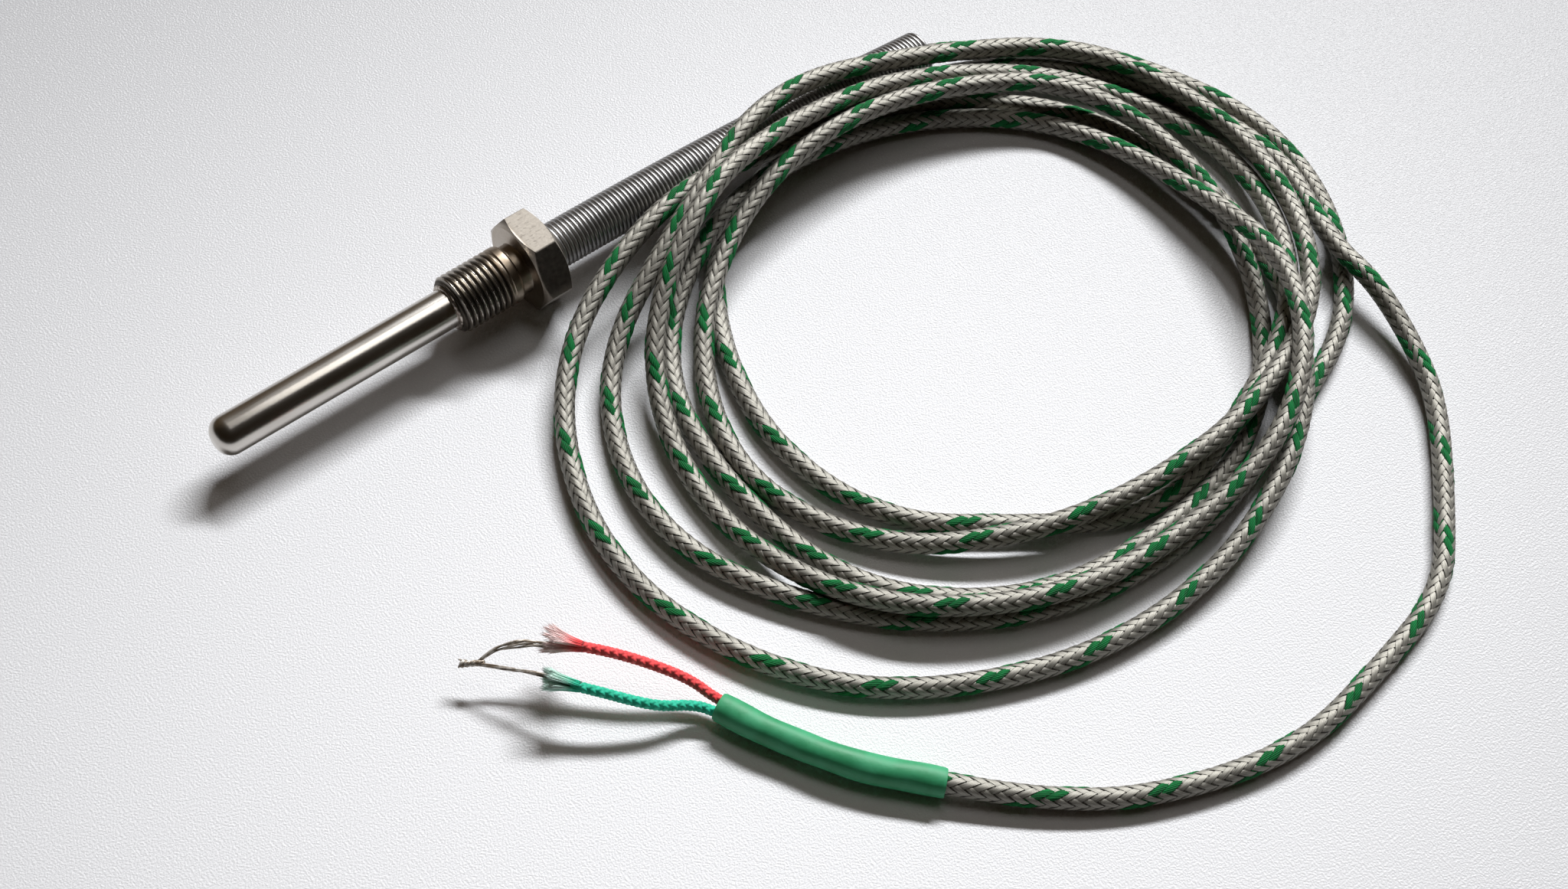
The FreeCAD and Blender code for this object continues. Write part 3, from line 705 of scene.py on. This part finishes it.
bare_strands = mottled("bare_strands", (0.26, 0.205, 0.15, 1), (0.66, 0.62, 0.57, 1),
                       900.0, 0.42, 0.6, 1.5e-5)
red_strands = loose_strands("red_strands", red_strand_points, 6, 0.48, 5)
green_strands = loose_strands("green_strands", green_strand_points, 4, 0.12, 8)
twist = twisted_wires("twisted_tip", 9, 14)
settle(red_strands, bare_strands, "bare_strands", "red_bare_strands")
settle(green_strands, bare_strands, "bare_strands", "green_bare_strands")
settle(twist, bare_strands, "bare_strands", "twisted_end")
for (lead, tuft, run), also in zip(leads, [[red_strands, twist], [green_strands]]):
    tuple(run[1][0] * 0.001)
    run[0][-1] * 0.001
    [tuple(point) for point in run[1] * 0.001]
    [tuft] + also

# The floor: a pale sheet of plastic with a fine moulded grain that sparkles in the light. Its colour is
# painted paler beside the object and darker far from it: a painted pool of light.
floor_mesh = bpy.data.meshes.new("floor")
floor_mesh.from_pydata([(-3, -3, 0), (3, -3, 0), (3, 3, 0), (-3, 3, 0)], [], [(0, 1, 2, 3)])
floor = bpy.data.objects.new("floor", floor_mesh)
bpy.context.scene.collection.objects.link(floor)
pale_sheet, shader, place, _ = finish("pale_sheet", {"Specular IOR Level": 0.25})
# Painted light: the floor's colour falls from pale at the object to grey 0.34 m away.
outward = place.node("VectorMath", {"operation": "DISTANCE"}, {0: place, 1: (-0.06, -0.11, 0.0)}, 1)
painted_light_pool = outward.step(0.0, 0.34).blend((0.870, 0.870, 0.892, 1), (0.420, 0.420, 0.431, 1))
moulded = place.grain(2500.0, 1.0)
(moulded.step(0.56, 0.72) * 0.3).blend(painted_light_pool, (1.0, 1.0, 1.0, 1)).feeds(shader, "Base Color")
(place.grain(1600.0) * 0.2 + 0.30).feeds(shader, "Roughness")
moulded.relief(2e-4, 0.6).feeds(shader, "Normal")
floor_mesh.materials.append(pale_sheet)

# The light: a bright window behind the object, a soft panel overhead, and a dim warm room that is a
# little lighter on the window's side.
world = bpy.data.worlds.new("room")
world.use_nodes = True
background = world.node_tree.nodes["Background"]
around_room = Shade(world.node_tree, world.node_tree.nodes.new("ShaderNodeTexCoord").outputs["Generated"])
toward = around_room.node("VectorMath", {"operation": "DOT_PRODUCT"}, {0: around_room, 1: (0.6, 0.8, 0.0)}, 1)
toward.step(-0.3, 0.9).blend((0.012, 0.0078, 0.0038, 1), (0.080, 0.055, 0.030, 1)).feeds(background, "Color")
bpy.context.scene.world = world


def lamp(name, toward, along, away, length, width, power, colour):
    """An oblong area lamp that faces the object's middle from a direction, its length turned along another.

    Distance, length and width are in metres, and the power in watts.
    """
    light = bpy.data.lights.new(name, "AREA")
    light.shape = "RECTANGLE"
    light.size = length
    light.size_y = width
    light.energy = power
    light.color = colour
    holder = bpy.data.objects.new(name, light)
    bpy.context.scene.collection.objects.link(holder)
    ahead = unit(np.array(toward))
    side = unit(np.array(along) - np.dot(along, ahead) * ahead)
    placed = np.eye(4)
    placed[:3, 0], placed[:3, 1], placed[:3, 2] = side, np.cross(ahead, side), ahead
    placed[:3, 3] = np.array([0.02, -0.07, 0]) + ahead * away
    holder.matrix_world = placed.T


lamp("window", (0.615, 0.39, 0.686), (0.73, -0.69, 0.0), 3.55, 2.05, 0.36, 188.0, (0.975, 0.987, 1.0))
lamp("overhead_panel", (0.25, 0.12, 0.96), (0.0, 1.0, 0.0), 1.6, 0.92, 0.24, 2.1, (1.0, 0.975, 0.94))

# The camera, at the photograph's angle: above the probe, on the side of the sheath's tip, looking down
# through a slightly long lens.
image_width, focal_pixels, sensor_width = 2048, 3174.3, 36
camera_stand = np.array([-177.3, -247.0, 382.0])
yaw, pitch, roll = np.radians([43.287, 55.915, 5.123])
look = np.array([np.cos(pitch) * np.sin(yaw), np.cos(pitch) * np.cos(yaw), -np.sin(pitch)])
level = np.array([np.cos(yaw), -np.sin(yaw), 0])
raised = np.cross(level, look)
camera_x = np.cos(roll) * level + np.sin(roll) * raised
camera_y = -np.sin(roll) * level + np.cos(roll) * raised
lens = bpy.data.cameras.new("camera")
lens.sensor_width = sensor_width
lens.lens = sensor_width * focal_pixels / image_width
lens.clip_start = 0.01
lens.clip_end = 20
camera = bpy.data.objects.new("camera", lens)
bpy.context.scene.collection.objects.link(camera)
placed = np.eye(4)
placed[:3, 0], placed[:3, 1], placed[:3, 2] = camera_x, camera_y, -look
placed[:3, 3] = camera_stand * 0.001
camera.matrix_world = placed.T
bpy.context.scene.camera = camera
bpy.context.scene.view_settings.view_transform = "Standard"
